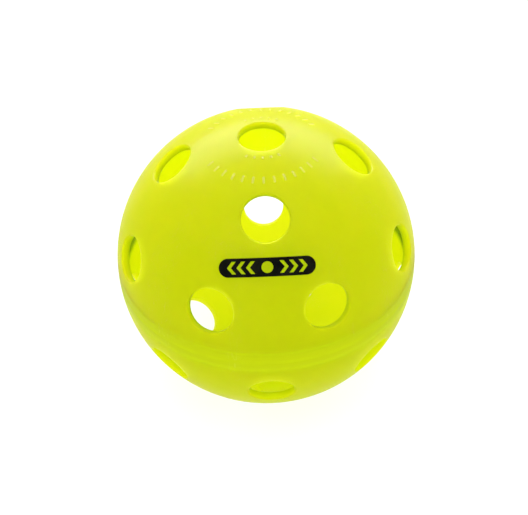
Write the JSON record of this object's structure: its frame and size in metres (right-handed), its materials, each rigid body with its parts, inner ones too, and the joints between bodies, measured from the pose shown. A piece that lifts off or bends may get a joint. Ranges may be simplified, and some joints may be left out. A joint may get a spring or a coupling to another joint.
{
  "type": "pickleball ball",
  "caption": "Hollow perforated plastic ball for indoor pickleball: two alike half shells welded at the equator, with round holes all over and a printed mark on the front.",
  "frame": {"origin": "centre of the ball", "axes": "+Z out through the upper half's pole hole, -Y out through the front, where the mark is printed, +X to the right seen from the front"},
  "size_m": [0.074, 0.074, 0.073],
  "materials": {
    "shell_plastic": "satin moulded polyethylene, bright yellow-green, slightly translucent",
    "weld_plastic": "the same plastic melted and set again, a little darker and smoother",
    "mark_ink": "black pad-printed ink, satin"
  },
  "bodies": {
    "root": {"upper_shell": "shell_plastic", "lower_shell": "shell_plastic", "seam_weld": "weld_plastic", "printed_mark": "mark_ink"}
  },
  "joints": []
}
